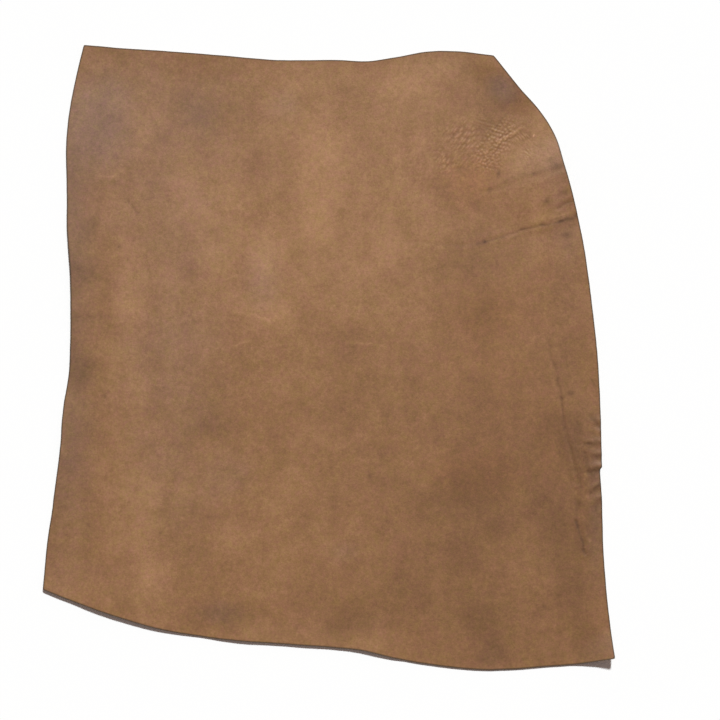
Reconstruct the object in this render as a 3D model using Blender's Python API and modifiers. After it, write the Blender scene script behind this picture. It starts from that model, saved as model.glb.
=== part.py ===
"""A leather hide: one cut panel of a cattle side, lying flat with its grain side up.

Run it with blender --background --python part.py, or from Blender's text editor.

The panel is one sheet of even thickness. It has four edges: a straight cut across the far end, the
belly edge on the right, the near edge and the back edge. Most of it lies flat on the ground. Its rim
rises in low waves, the near right corner curls up, and creases, pleats and a neck wrinkle are
pressed into it. X runs across the hide, Y along it and Z is up.
The origin is on the ground, under the middle of the sheet's box. Units are metres.
"""

import math

import bmesh
import bpy
from mathutils import Vector

MM = 0.001

# Driving dimensions.
HIDE_WIDTH = 825 * MM
HIDE_LENGTH = 903 * MM
HIDE_THICKNESS = 2.2 * MM

# The four corners of the cut, as shares of the width from its left side and of the length from its
# near side.
CORNERS = {
    "far_left": (0.072, 1.000),
    "far_right": (0.789, 0.983),
    "near_right": (1.000, 0.0205),
    "near_left": (0.000, 0.129),
}

# Each edge runs from one corner to the next. A row is a station on it:
# share of the way to the next corner, how far the edge lies outside the straight line (mm).
EDGES = {
    "far": [
        (0.10, -3.2),
        (0.25, -6.9),
        (0.38, -11.3),
        (0.46, -14.2),
        (0.54, -13.6),
        (0.62, -12.1),
        (0.69, -12.8),
        (0.76, -6.0),
        (0.84, 4.0),
        (0.92, 5.0),
    ],
    "belly": [
        (0.06, 27.8),
        (0.10, 48.7),
        (0.14, 63.2),
        (0.20, 69.3),
        (0.30, 74.0),
        (0.42, 69.2),
        (0.55, 57.8),
        (0.68, 38.2),
        (0.76, 25.2),
        (0.84, 13.6),
        (0.92, 5.8),
    ],
    "near": [
        (0.06, 13.0),
        (0.14, 27.4),
        (0.20, 36.3),
        (0.26, 39.9),
        (0.34, 40.4),
        (0.42, 37.1),
        (0.50, 34.1),
        (0.56, 33.0),
        (0.62, 38.7),
        (0.70, 42.0),
        (0.80, 38.1),
        (0.88, 25.6),
        (0.94, 15.6),
    ],
    "back": [
        (0.08, 10.4),
        (0.18, 15.2),
        (0.26, 9.6),
        (0.34, 4.0),
        (0.42, -5.5),
        (0.52, -12.0),
        (0.60, -13.8),
        (0.66, -9.8),
        (0.74, -9.4),
        (0.84, -5.1),
        (0.92, -0.8),
    ],
}

# Where the sheet lifts off the ground. A row is one soft dome. A dome whose middle is at the rim is
# half a wave, and one whose middle is well beyond the rim is a curl, steepest where it is cut off:
# name, x, y of its middle (mm), its reach along and across (mm), turn of "along" (degrees), height (mm).
LIFTS = [
    ("near right corner curl", 477, -510, 147, 147, 0, 47.6),
    ("tip of the curl", 427, -452, 42, 42, 0, 4.3),
    ("near edge wave, left", -314, -382, 142, 90, -18, 3.8),
    ("near edge wave, second", -118, -424, 70, 60, -3, 2.3),
    ("near edge wave, third", -32, -430, 78, 60, -5, 2.2),
    ("near edge wave, middle", 56, -444, 66, 85, -14, 3.3),
    ("near left corner", -424, -350, 60, 60, 0, 2.2),
    ("back edge wave, low", -395, -130, 120, 60, 80, 2.6),
    ("back edge wave, high", -384, 92, 175, 62, 92, 3.8),
    ("far left corner", -366, 462, 110, 80, 30, 4.0),
    ("far edge wave, left", -175, 458, 130, 62, -3, 2.8),
    ("far edge wave, right", 60, 448, 85, 50, 0, 1.0),
    ("neck corner", 266, 424, 85, 62, 125, 6.5),
    ("neck ridge", 350, 262, 135, 74, 25, 8.0),
    ("belly wave, high", 392, 150, 75, 55, 98, 3.2),
    ("belly wave, middle", 402, 30, 120, 58, 94, 3.2),
    ("belly wave, low", 405, -150, 125, 60, 90, 4.4),
    ("swell, neck to belly", 235, 110, 120, 85, 15, 1.2),
    ("swell along the back", -290, -170, 210, 60, 88, 1.4),
]

# Lines pressed into the hide. Its valley lies on the line and a soft lip rises on each side:
# name, line through (x, y) points (mm), lip's distance from the line (mm), lip's height (mm)
# at the line's start and at its end.
CREASES = [
    ("long crease", [(366, 211), (305, 190), (255, 176), (190, 163)], 7.0, 0.9, 0.3),
    ("short crease above it", [(358, 233), (327, 215)], 6.0, 0.7, 0.3),
    ("faint crease to the neck", [(338, 271), (277, 252), (222, 240)], 8.0, 0.3, 0.2),
    ("flank line", [(318, 20), (329, -32), (343, -104), (354, -165)], 6.0, 0.2, 0.4),
    ("flank line, end", [(356, -190), (361, -238), (373, -283)], 6.0, 0.4, 0.6),
    ("neck wrinkle", [(236, 306), (258, 323), (282, 336)], 5.0, 0.5, 0.3),
]

# Short pleats that run in from the belly edge. A row is one:
# y at the edge (mm), length (mm), how far its inner end lies below the edge's (mm), half width (mm),
# height (mm).
PLEATS = [
    (-92, 24, 2, 6.5, 0.9),
    (-107, 20, -3, 6.0, 0.8),
    (-121, 32, 4, 6.5, 1.5),
    (-139, 26, -2, 6.5, 1.2),
    (-157, 30, 2, 6.0, 1.8),
    (-181, 25, 12, 6.5, 1.5),
    (-203, 18, 9, 6.5, 1.2),
    (-222, 22, 5, 7.0, 0.9),
]

LEAST_LIFT = 0.1  # mm; where the hide would lift less than this, it lies on the ground

# The mesh. Faces at the rim are split in four once.
COARSE_STEP = 25.0 * MM
FINE_SPLITS = 2  # faces near a crease or a pleat are split this many times
STRAIGHT = math.radians(170)  # a face with a corner this open has a neighbour that was split
EDGE_SAMPLES = 400  # points along each edge, from which places on it are read

# As multiples of a crease's or a pleat's lip distance.
CREASE_REACH = 2.4  # how far it works
SPLIT_REACH = 1.9  # how far from it faces are split

RIM_ANGLE = math.radians(40)  # the cut edge stays crisp, and gentler bends are shaded smooth

LEATHER_BROWN = (0.287, 0.153, 0.081, 1.0)
LEATHER_ROUGHNESS = 0.55


def clear_scene():
    """Removes every object, so that the script can run in any open file."""
    for item in list(bpy.data.objects):
        bpy.data.objects.remove(item)


def make_leather():
    """The dyed and oiled leather."""
    material = bpy.data.materials.new("oiled_brown_leather")
    material.use_nodes = True
    shader = material.node_tree.nodes["Principled BSDF"]
    shader.inputs["Base Color"].default_value = LEATHER_BROWN
    shader.inputs["Roughness"].default_value = LEATHER_ROUGHNESS
    shader.inputs["Metallic"].default_value = 0.0
    return material


def corner(name):
    """A corner's place on the flat cut, in metres."""
    across, along = CORNERS[name]
    return Vector((across * HIDE_WIDTH, along * HIDE_LENGTH))


def smooth_offset(stations, share):
    """How far an edge lies outside its straight line, on a smooth curve through its stations."""
    last = len(stations) - 1
    i = 0
    while i < last - 1 and stations[i + 1][0] < share:
        i += 1

    def steepness(k):
        """The curve's slope at station k: that of the nearer neighbour counts for more."""
        (ax, ay), (bx, by), (cx, cy) = (stations[min(max(j, 0), last)] for j in (k - 1, k, k + 1))
        if k == 0:
            return (cy - by) / (cx - bx)
        if k == last:
            return (by - ay) / (bx - ax)
        slope_before, slope_after = (by - ay) / (bx - ax), (cy - by) / (cx - bx)
        return (slope_before * (cx - bx) + slope_after * (bx - ax)) / (cx - ax)

    (x0, y0), (x1, y1) = stations[i], stations[i + 1]
    span = x1 - x0
    t = (share - x0) / span
    return (
        (2 * t**3 - 3 * t**2 + 1) * y0
        + (t**3 - 2 * t**2 + t) * span * steepness(i)
        + (3 * t**2 - 2 * t**3) * y1
        + (t**3 - t**2) * span * steepness(i + 1)
    )


class Edge:
    """One edge of the cut, as a smooth line from one corner to another."""

    def __init__(self, name, start, end, outside):
        """outside is 1 if the hide's outside is on the right of start to end, and -1 if on the left."""
        a, b = corner(start), corner(end)
        along = (b - a).normalized()
        out = Vector((along.y, -along.x)) * outside
        stations = [(0.0, 0.0), *EDGES[name], (1.0, 0.0)]
        self.points = []
        for k in range(EDGE_SAMPLES + 1):
            share = k / EDGE_SAMPLES
            offset = smooth_offset(stations, share) * MM
            self.points.append(a.lerp(b, share) + out * offset)
        self.lengths = [0.0]
        for p, q in zip(self.points, self.points[1:]):
            self.lengths.append(self.lengths[-1] + (q - p).length)

    def at(self, share):
        """The point at this share of the edge's own length."""
        wanted = share * self.lengths[-1]
        low, high = 0, EDGE_SAMPLES
        while high - low > 1:
            middle = (low + high) // 2
            if self.lengths[middle] <= wanted:
                low = middle
            else:
                high = middle
        step = self.lengths[high] - self.lengths[low]
        return self.points[low].lerp(self.points[high], (wanted - self.lengths[low]) / step)


class Outline:
    """The flat cut: it turns a place on a unit square into a place on the hide."""

    def __init__(self):
        self.far = Edge("far", "far_left", "far_right", -1)
        self.belly = Edge("belly", "far_right", "near_right", -1)
        self.near = Edge("near", "near_left", "near_right", 1)
        self.back = Edge("back", "far_left", "near_left", 1)
        rim = self.far.points + self.belly.points + self.near.points + self.back.points
        low = Vector((min(p.x for p in rim), min(p.y for p in rim)))
        high = Vector((max(p.x for p in rim), max(p.y for p in rim)))
        self.middle = (low + high) / 2
        self.size = high - low

    def place(self, u, v):
        """u runs from the back edge to the belly edge and v from the near edge to the far one.
        The place is blended from the four edges, which is called a Coons patch."""
        near, far = self.near.at(u), self.far.at(u)
        back, belly = self.back.at(1 - v), self.belly.at(1 - v)
        between_ends = near.lerp(far, v)
        between_sides = back.lerp(belly, u)
        corners_alone = self.near.at(0).lerp(self.near.at(1), u).lerp(
            self.far.at(0).lerp(self.far.at(1), u), v
        )
        return between_ends + between_sides - corners_alone - self.middle


def dome(distance):
    """1 in the middle, falling smoothly to 0 at distance 1 and beyond."""
    return (1 - distance * distance) ** 2 if distance < 1 else 0.0


def lift_height(x, y):
    """How far the waves and the curl raise the sheet at a place, all in mm."""
    height = 0.0
    for _, middle_x, middle_y, reach_along, reach_across, turn, top in LIFTS:
        angle = math.radians(turn)
        dx, dy = x - middle_x, y - middle_y
        along = (dx * math.cos(angle) + dy * math.sin(angle)) / reach_along
        across = (dy * math.cos(angle) - dx * math.sin(angle)) / reach_across
        height += top * dome(math.hypot(along, across))
    return height


def from_line(x, y, line):
    """A place's distance from a line through points, and the share of the line where it is nearest."""
    lengths = [math.dist(a, b) for a, b in zip(line, line[1:])]
    nearest, share, walked = math.inf, 0.0, 0.0
    for (ax, ay), (bx, by), length in zip(line, line[1:], lengths):
        t = ((x - ax) * (bx - ax) + (y - ay) * (by - ay)) / length**2
        t = min(max(t, 0.0), 1.0)
        distance = math.hypot(x - ax - t * (bx - ax), y - ay - t * (by - ay))
        if distance < nearest:
            nearest, share = distance, (walked + t * length) / sum(lengths)
        walked += length
    return nearest, share


def pleat_line(y, length, drop, edge_x):
    """A pleat's line, from the belly edge inwards."""
    return [(edge_x, y), (edge_x - length, y - drop)]


class Surface:
    """The height of the hide's underside over the ground, at each place on the cut."""

    def __init__(self, outline):
        self.lines = [
            (line, width, first, last, True) for _, line, width, first, last in CREASES
        ]
        for y, length, drop, width, height in PLEATS:
            edge_x = self.belly_x(outline, y)
            line = pleat_line(y, length, drop, edge_x)
            self.lines.append((line, width, height, 0.0, False))

    @staticmethod
    def belly_x(outline, y):
        """x of the belly edge at y, in mm."""
        nearest = min(outline.belly.points, key=lambda p: abs((p.y - outline.middle.y) / MM - y))
        return (nearest.x - outline.middle.x) / MM

    def line_height(self, x, y):
        """What the creases and pleats add at a place, in mm."""
        height = 0.0
        for line, width, first, last, has_valley in self.lines:
            distance, share = from_line(x, y, line)
            reach = distance / (CREASE_REACH * width)
            top = first + (last - first) * share
            if has_valley:
                lip = (distance / width) ** 2 * math.exp(1 - (distance / width) ** 2)
            else:
                lip = math.exp(-((distance / width) ** 2))
            height += top * lip * dome(reach)
        return height

    def near_line(self, x, y):
        """Whether a crease or a pleat passes close by."""
        return any(
            from_line(x, y, line)[0] < SPLIT_REACH * width
            for line, width, _, _, _ in self.lines
        )

    def height(self, x, y):
        """The underside's height over the ground, in mm. It is 0 where the hide lies flat."""
        height = lift_height(x, y) + self.line_height(x, y)
        return height if height >= LEAST_LIFT else 0.0


def unit_square(bm, columns, rows):
    """A flat grid whose vertices run from 0 to 1 in X and Y."""
    bmesh.ops.create_grid(bm, x_segments=columns, y_segments=rows, size=0.5)
    bmesh.ops.translate(bm, verts=bm.verts, vec=(0.5, 0.5, 0))


def split_where_needed(bm, outline, surface):
    """Splits the faces at the rim, and those that a crease or a pleat passes, so that it shows."""
    for split in range(FINE_SPLITS):
        wanted = set()
        for face in bm.faces:
            u, v, _ = face.calc_center_median()
            place = outline.place(u, v) / MM
            at_rim = any(edge.is_boundary for edge in face.edges)
            if surface.near_line(place.x, place.y) or (at_rim and split == 0):
                wanted.update(face.edges)
        bmesh.ops.subdivide_edges(
            bm, edges=list(wanted), cuts=1, use_grid_fill=True, quad_corner_type="FAN"
        )
        half_split = [
            face for face in bm.faces if any(loop.calc_angle() > STRAIGHT for loop in face.loops)
        ]
        bmesh.ops.triangulate(bm, faces=half_split)


def build_hide(collection, material):
    """The hide: its flesh side follows the ground, the waves and the creases, and Solidify
    adds the leather's thickness above it."""
    outline = Outline()
    surface = Surface(outline)
    bm = bmesh.new()
    columns = round(outline.size.x / COARSE_STEP)
    rows = round(outline.size.y / COARSE_STEP)
    unit_square(bm, columns, rows)
    split_where_needed(bm, outline, surface)
    for vertex in bm.verts:
        place = outline.place(vertex.co.x, vertex.co.y)
        height = surface.height(place.x / MM, place.y / MM)
        vertex.co = (place.x, place.y, height * MM)
    mesh = bpy.data.meshes.new("hide")
    bm.to_mesh(mesh)
    bm.free()
    mesh.materials.append(material)

    hide = bpy.data.objects.new("hide", mesh)
    collection.objects.link(hide)
    thickness = hide.modifiers.new("leather thickness", "SOLIDIFY")
    thickness.thickness = HIDE_THICKNESS
    thickness.offset = 1.0
    bpy.context.view_layer.objects.active = hide
    bpy.ops.object.modifier_apply(modifier=thickness.name)
    hide.data.shade_smooth()
    hide.data.set_sharp_from_angle(angle=RIM_ANGLE)
    return hide


def main():
    clear_scene()
    collection = bpy.data.collections.new("leather_hide")
    bpy.context.scene.collection.children.link(collection)
    build_hide(collection, make_leather())


main()
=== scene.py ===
# %% [markdown]
# # A leather hide, laid down to be looked over
#
# This lesson builds one panel of oiled cattle leather as it lies after it was unrolled: nearly flat,
# with a wavy rim, one curled corner, creases at the belly and a net of wrinkles at the neck.
#
# A hide is one piece with three surfaces. The grain side is the outer skin, dyed and oiled. The flesh
# side is suede. The cut edge shows the fibres between them. So this file makes one mesh and three
# materials.
#
# The start is a fixed frame: a plain solid of the same hide at its real size. The mesh made here is
# shown in its place, so it has to fill the same box.

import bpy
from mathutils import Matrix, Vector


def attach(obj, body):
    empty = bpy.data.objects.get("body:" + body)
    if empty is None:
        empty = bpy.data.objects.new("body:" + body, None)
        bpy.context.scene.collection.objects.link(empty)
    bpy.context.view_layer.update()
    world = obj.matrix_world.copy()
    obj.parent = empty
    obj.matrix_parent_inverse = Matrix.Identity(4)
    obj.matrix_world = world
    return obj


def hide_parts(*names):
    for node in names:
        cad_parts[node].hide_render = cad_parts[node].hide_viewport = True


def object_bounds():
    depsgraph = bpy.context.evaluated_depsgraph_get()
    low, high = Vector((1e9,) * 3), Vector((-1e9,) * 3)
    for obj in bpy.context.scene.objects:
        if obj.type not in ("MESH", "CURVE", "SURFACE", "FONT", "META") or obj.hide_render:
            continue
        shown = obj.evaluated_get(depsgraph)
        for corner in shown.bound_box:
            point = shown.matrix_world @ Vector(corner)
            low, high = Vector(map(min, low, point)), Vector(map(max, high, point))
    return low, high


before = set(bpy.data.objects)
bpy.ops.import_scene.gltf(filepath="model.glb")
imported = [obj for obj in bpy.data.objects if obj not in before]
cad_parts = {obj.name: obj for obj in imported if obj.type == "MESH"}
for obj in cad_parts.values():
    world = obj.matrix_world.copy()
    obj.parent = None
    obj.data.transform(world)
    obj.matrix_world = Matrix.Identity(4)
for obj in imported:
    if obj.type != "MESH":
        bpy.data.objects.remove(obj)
cad_low, cad_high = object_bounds()
print("frame box in metres:", tuple(cad_low), "to", tuple(cad_high))

# %% Tools and units
import math

import bmesh
import bpy
import numpy as np
from mathutils import Vector

MM = 0.001  # tables and heights are in millimetres, and Blender works in metres
WIDTH = (cad_high.x - cad_low.x) / MM
LENGTH = (cad_high.y - cad_low.y) / MM
THICKNESS = 2.2  # five and a half ounce leather
print(f"the hide is {WIDTH:.0f} by {LENGTH:.0f} mm")

# %% [markdown]
# ## Randomness that stays the same
#
# Skin is never even. Its swells, the wobble of the knife and the breaks in a wrinkle all need random
# shapes, but the same ones each time the file runs. This noise puts a seeded random number on each
# crossing of a square lattice and blends smoothly between them. It takes whole arrays of places, so
# it is quick.

# %% Soft noise
LATTICE = 512  # crossings each way before the pattern repeats


def soft_noise(x, y, size, seed):
    """Smooth random hills and dips, each about size wide, from -1 to 1. The seed picks the pattern."""
    lattice = np.random.default_rng(seed).uniform(-1, 1, (LATTICE, LATTICE))
    across = np.asarray(x, float) / size
    along = np.asarray(y, float) / size
    column = np.floor(across).astype(int)
    row = np.floor(along).astype(int)
    s = across - column
    t = along - row
    s = s * s * (3 - 2 * s)
    t = t * t * (3 - 2 * t)
    left, right = column % LATTICE, (column + 1) % LATTICE
    low, high = row % LATTICE, (row + 1) % LATTICE
    near = lattice[left, low] * (1 - s) + lattice[right, low] * s
    far = lattice[left, high] * (1 - s) + lattice[right, high] * s
    return near * (1 - t) + far * t


print("noise at 1, 2 and 3 mm:", soft_noise([1, 2, 3], [0, 0, 0], 5.0, 1).round(2))

# %% [markdown]
# ## The outline
#
# A panel has four edges: the cut across the neck end, the belly edge, the near edge and the back
# edge. Tracing them point by point would need hundreds of numbers. Instead each edge is a straight
# line between two corners with a few stations along it, which say how far the leather bulges out
# there.

# %% Corners and edges
# The corners, as shares of the width from the left and of the length from the near side.
CORNERS = {
    "far_left": (0.072, 1.000),
    "far_right": (0.789, 0.983),
    "near_right": (1.000, 0.0205),
    "near_left": (0.000, 0.129),
}

# A row is a station: share of the way to the next corner, mm outside the straight line.
EDGES = {
    "far": [
        (0.10, -3.2),
        (0.25, -6.9),
        (0.38, -11.3),
        (0.46, -14.2),
        (0.54, -13.6),
        (0.62, -12.1),
        (0.69, -12.8),
        (0.76, -6.0),
        (0.84, 4.0),
        (0.92, 5.0),
    ],
    "belly": [
        (0.06, 27.8),
        (0.10, 48.7),
        (0.14, 63.2),
        (0.20, 69.3),
        (0.30, 74.0),
        (0.42, 69.2),
        (0.55, 57.8),
        (0.68, 38.2),
        (0.76, 25.2),
        (0.84, 13.6),
        (0.92, 5.8),
    ],
    "near": [
        (0.06, 13.0),
        (0.14, 27.4),
        (0.20, 36.3),
        (0.26, 39.9),
        (0.34, 40.4),
        (0.42, 37.1),
        (0.50, 34.1),
        (0.56, 33.0),
        (0.62, 38.7),
        (0.70, 42.0),
        (0.80, 38.1),
        (0.88, 25.6),
        (0.94, 15.6),
    ],
    "back": [
        (0.08, 10.4),
        (0.18, 15.2),
        (0.26, 9.6),
        (0.34, 4.0),
        (0.42, -5.5),
        (0.52, -12.0),
        (0.60, -13.8),
        (0.66, -9.8),
        (0.74, -9.4),
        (0.84, -5.1),
        (0.92, -0.8),
    ],
}
print({name: len(stations) for name, stations in EDGES.items()}, "stations")

# %% [markdown]
# A smooth curve runs through the stations. A spline that is solved as a whole would swing out between
# them, so each station gets the slope that its two neighbours suggest, and a cubic joins two stations.

# %% A curve through stations


def smooth_curve(stations, shares):
    """The stations' values at each share, on a curve that passes through all of them."""
    x, y = np.array(stations).T
    steps = np.diff(x)
    slopes = np.diff(y) / steps
    before, after = steps[:-1], steps[1:]
    inner = (slopes[:-1] * after + slopes[1:] * before) / (before + after)
    steep = np.concatenate([slopes[:1], inner, slopes[-1:]])
    i = np.clip(np.searchsorted(x, shares, side="right") - 1, 0, len(steps) - 1)
    t = (shares - x[i]) / steps[i]
    return (
        (2 * t**3 - 3 * t**2 + 1) * y[i]
        + (t**3 - 2 * t**2 + t) * steps[i] * steep[i]
        + (3 * t**2 - 2 * t**3) * y[i + 1]
        + (t**3 - t**2) * steps[i] * steep[i + 1]
    )


print(f"the belly bulges {smooth_curve(EDGES['belly'], 0.25):.1f} mm at a quarter of its length")

# %% [markdown]
# A knife wobbles by a few tenths of a millimetre. The wobble is added to the bulge, and it fades out
# at the corners, so that the four edges still meet.

# %% The knife's line
EDGE_SAMPLES = 1600
WOBBLE = [(26.0, 0.35), (9.0, 0.14)]  # (how long a wobble is, how deep), mm
WOBBLE_ROW = 7.3  # mm for each letter of an edge's name: where its wobble is read from the noise
FADE_RATE = 30  # a wobble has grown from nothing to its full depth after 1/30 of the edge


def corner(name):
    """A corner's place on the flat cut, in mm."""
    across, along = CORNERS[name]
    return np.array([across * WIDTH, along * LENGTH])


def edge_line(name, start, end, outside):
    """An edge's points from one corner to the next, and each one's share of the edge's length."""
    a, b = corner(start), corner(end)
    chord = np.linalg.norm(b - a)
    along = (b - a) / chord
    out = np.array([along[1], -along[0]]) * outside
    shares = np.linspace(0, 1, EDGE_SAMPLES + 1)
    bulge = smooth_curve([(0, 0), *EDGES[name], (1, 0)], shares)
    fade = np.clip(np.minimum(shares, 1 - shares) * FADE_RATE, 0, 1)
    row = len(name) * WOBBLE_ROW
    for seed, (size, depth) in enumerate(WOBBLE):
        bulge = bulge + fade * depth * soft_noise(shares * chord, row, size, seed)
    points = a + shares[:, None] * (b - a) + bulge[:, None] * out
    walked = np.concatenate([[0], np.cumsum(np.linalg.norm(np.diff(points, axis=0), axis=1))])
    return points, walked / walked[-1]


far = edge_line("far", "far_left", "far_right", -1)
belly = edge_line("belly", "far_right", "near_right", -1)
near = edge_line("near", "near_left", "near_right", 1)
back = edge_line("back", "far_left", "near_left", 1)

rim = np.concatenate([far[0], belly[0], near[0][::-1], back[0][::-1]])
middle = (rim.min(axis=0) + rim.max(axis=0)) / 2
rim = rim - middle
x, y = rim.T

# %% [markdown]
# ## A grid that fits the outline
#
# The sheet needs an even grid of quads, so that waves shade cleanly and every edge is followed. A
# Coons patch does that. It takes a unit square and blends a place from the two pairs of opposite
# edges, less the corners, which both pairs already count.

# %% From the unit square to the hide


def walk(edge, share):
    """The points at these shares of an edge's length."""
    points, walked = edge
    return np.stack([np.interp(share, walked, points[:, k]) for k in (0, 1)], axis=-1)


def place_on_hide(u, v):
    """u runs from the back to the belly and v from the near edge to the far one. In mm."""
    u_column, v_column = u[:, None], v[:, None]
    between_ends = walk(near, u) * (1 - v_column) + walk(far, u) * v_column
    between_sides = walk(back, 1 - v) * (1 - u_column) + walk(belly, 1 - v) * u_column
    low = corner("near_left") * (1 - u_column) + corner("near_right") * u_column
    high = corner("far_left") * (1 - u_column) + corner("far_right") * u_column
    return between_ends + between_sides - low * (1 - v_column) - high * v_column - middle


print("the middle of the square lands at", place_on_hide(*np.full((2, 1), 0.5)).round(1)[0], "mm")

# %% [markdown]
# ## Waves and the curl
#
# Leather this thick doesn't drape. It lies flat and lifts off the floor in soft domes near its rim. A
# cloth simulation could find such waves, but not these ones. So each dome is placed one by one: one
# whose middle is at the rim is half a wave, and one whose middle is well beyond the rim is a curl,
# steepest where it is cut off. A table with a row for each dome is easy to adjust while looking at
# renders.

# %% Domes
# name, x, y of the middle, reach along and across, turn in degrees, height
LIFTS = [
    ("near right corner curl", 477, -510, 147, 147, 0, 47.6),
    ("tip of the curl", 427, -452, 42, 42, 0, 4.3),
    ("near edge wave, left", -314, -382, 142, 90, -18, 3.8),
    ("near edge wave, second", -118, -424, 70, 60, -3, 2.3),
    ("near edge wave, third", -32, -430, 78, 60, -5, 2.2),
    ("near edge wave, middle", 56, -444, 66, 85, -14, 3.3),
    ("near left corner", -424, -350, 60, 60, 0, 2.2),
    ("back edge wave, low", -395, -130, 120, 60, 80, 2.6),
    ("back edge wave, high", -384, 92, 175, 62, 92, 3.8),
    ("far left corner", -366, 462, 110, 80, 30, 4.0),
    ("far edge wave, left", -175, 458, 130, 62, -3, 2.8),
    ("far edge wave, right", 60, 448, 85, 50, 0, 1.0),
    ("neck corner", 266, 424, 85, 62, 125, 6.5),
    ("neck ridge", 350, 262, 135, 74, 25, 8.0),
    ("belly wave, high", 392, 150, 75, 55, 98, 3.2),
    ("belly wave, middle", 402, 30, 120, 58, 94, 3.2),
    ("belly wave, low", 405, -150, 125, 60, 90, 4.4),
    ("swell, neck to belly", 235, 110, 120, 85, 15, 1.2),
    ("swell along the back", -290, -170, 210, 60, 88, 1.4),
]


def dome(distance):
    """1 in the middle, falling smoothly to 0 at distance 1 and beyond."""
    return np.where(distance < 1, (1 - distance**2) ** 2, 0.0)


def on_dome(x, y, middle_x, middle_y, reach_along, reach_across, turn):
    """How high each place is on one dome, from 0 to 1."""
    angle = math.radians(turn)
    dx, dy = x - middle_x, y - middle_y
    along = (dx * math.cos(angle) + dy * math.sin(angle)) / reach_along
    across = (dy * math.cos(angle) - dx * math.sin(angle)) / reach_across
    return dome(np.hypot(along, across))


def lifted(x, y):
    """How far the domes lift each place, in mm."""
    return sum(top * on_dome(x, y, *shape) for _, *shape, top in LIFTS)


print(f"the domes lift the rim by up to {lifted(*rim.T).max():.1f} mm")

# %% [markdown]
# ## Creases and pleats
#
# A crease is a line that was pressed in when the hide was folded or hung. The leather on both sides
# of it bulges up into a lip, so the height is zero on the line, highest at some distance from it
# and zero again farther out. A pleat is the opposite: a small ridge where the rim has too much length.
# Both are drawn along a few points, and noise makes the line waver, because no crease is straight.

# %% Lines that waver
WANDER = [(26.0, 2.2), (9.0, 1.3)]  # (size, how far lines stray), mm
WANDER_SEEDS = (21, 22)  # for straying across and along


def from_line(x, y, line):
    """The distance from a line through points, and the share of the line where it is nearest."""
    corners = np.array(line, float)
    lengths = np.linalg.norm(np.diff(corners, axis=0), axis=1)
    nearest, share, walked = np.full(x.shape, np.inf), np.zeros(x.shape), 0.0
    for (ax, ay), (bx, by), long in zip(corners, corners[1:], lengths):
        t = np.clip(((x - ax) * (bx - ax) + (y - ay) * (by - ay)) / long**2, 0, 1)
        distance = np.hypot(x - ax - t * (bx - ax), y - ay - t * (by - ay))
        share = np.where(distance < nearest, (walked + t * long) / lengths.sum(), share)
        nearest = np.minimum(nearest, distance)
        walked += long
    return nearest, share


def wander(x, y):
    """The places, moved a little, so that what is drawn straight through them wavers."""
    moved = [x, y]
    for size, far_moved in WANDER:
        for k, seed in enumerate(WANDER_SEEDS):
            moved[k] = moved[k] + far_moved * soft_noise(x, y, size, seed)
    return moved


strays = wander(*rim.T)[0] - rim[:, 0]
print(f"lines stray by up to {np.abs(strays).max():.1f} mm")

# %% [markdown]
# A row of the first table is one crease, and a row of the second is one of the short pleats that run in
# from the belly edge.

# %% Creases and pleats
# name, line through (x, y) points, lip's distance from it, lip's height at the start and the end
CREASES = [
    ("long crease", [(366, 211), (305, 190), (255, 176), (190, 163)], 7.0, 0.45, 0.1),
    ("short crease above it", [(358, 233), (327, 215)], 6.0, 0.7, 0.3),
    ("faint crease to the neck", [(338, 271), (277, 252), (222, 240)], 8.0, 0.3, 0.2),
    ("flank line", [(318, 20), (329, -32), (343, -104), (354, -165)], 6.0, 0.2, 0.4),
    ("flank line, end", [(356, -190), (361, -238), (373, -283)], 6.0, 0.4, 0.6),
    ("neck wrinkle", [(236, 306), (258, 323), (282, 336)], 5.0, 0.5, 0.3),
]

# y at the belly edge, length, how far the inner end lies below the edge's, half width, height
PLEATS = [
    (-92, 24, 2, 6.5, 0.9),
    (-107, 20, -3, 6.0, 0.8),
    (-121, 32, 4, 6.5, 1.5),
    (-139, 26, -2, 6.5, 1.2),
    (-157, 30, 2, 6.0, 1.8),
    (-181, 25, 12, 6.5, 1.5),
    (-203, 18, 9, 6.5, 1.2),
    (-222, 22, 5, 7.0, 0.9),
]
CREASE_REACH = 2.4  # how far a crease works, as a multiple of its lip's distance


def belly_x(y):
    """x of the belly edge at y."""
    edge = belly[0] - middle
    return edge[np.argmin(np.abs(edge[:, 1] - y)), 0]


def pleat_line(y, long, drop):
    """A pleat's line, from the belly edge inwards."""
    return [(belly_x(y), y), (belly_x(y) - long, y - drop)]


def crease_height(x, y):
    """What the lips of the creases and the pleats add."""
    height = np.zeros(x.shape)
    x, y = wander(x, y)
    for _, line, width, first, last in CREASES:
        distance, share = from_line(x, y, line)
        lip = (distance / width) ** 2 * np.exp(1 - (distance / width) ** 2)
        height += (first + (last - first) * share) * lip * dome(distance / (CREASE_REACH * width))
    for edge_y, long, drop, width, top in PLEATS:
        distance, share = from_line(x, y, pleat_line(edge_y, long, drop))
        ridge = np.exp(-((distance / width) ** 2))
        height += top * (1 - share) * ridge * dome(distance / (CREASE_REACH * width))
    return height


def flesh_height(x, y):
    """The underside's height over the floor. It is 0 where the hide lies flat."""
    return lifted(x, y) + crease_height(x, y)


print(f"{len(CREASES)} creases and {len(PLEATS)} pleats")

# %% [markdown]
# ## Neck wrinkles
#
# Some forms are too fine for the whole thickness to follow. They sit in the skin alone, so they move
# the grain side and leave the flesh side as it is.
#
# Neck wrinkles are the best known of them. The neck bends every day of the animal's life, and the
# skin there breaks up into small cushions. They could be drawn as parallel waves, but those look
# combed. A slanted lattice of points, each pushed off its place, looks grown: the skin is highest at
# every point and sinks with the distance from the nearest one.

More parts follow.
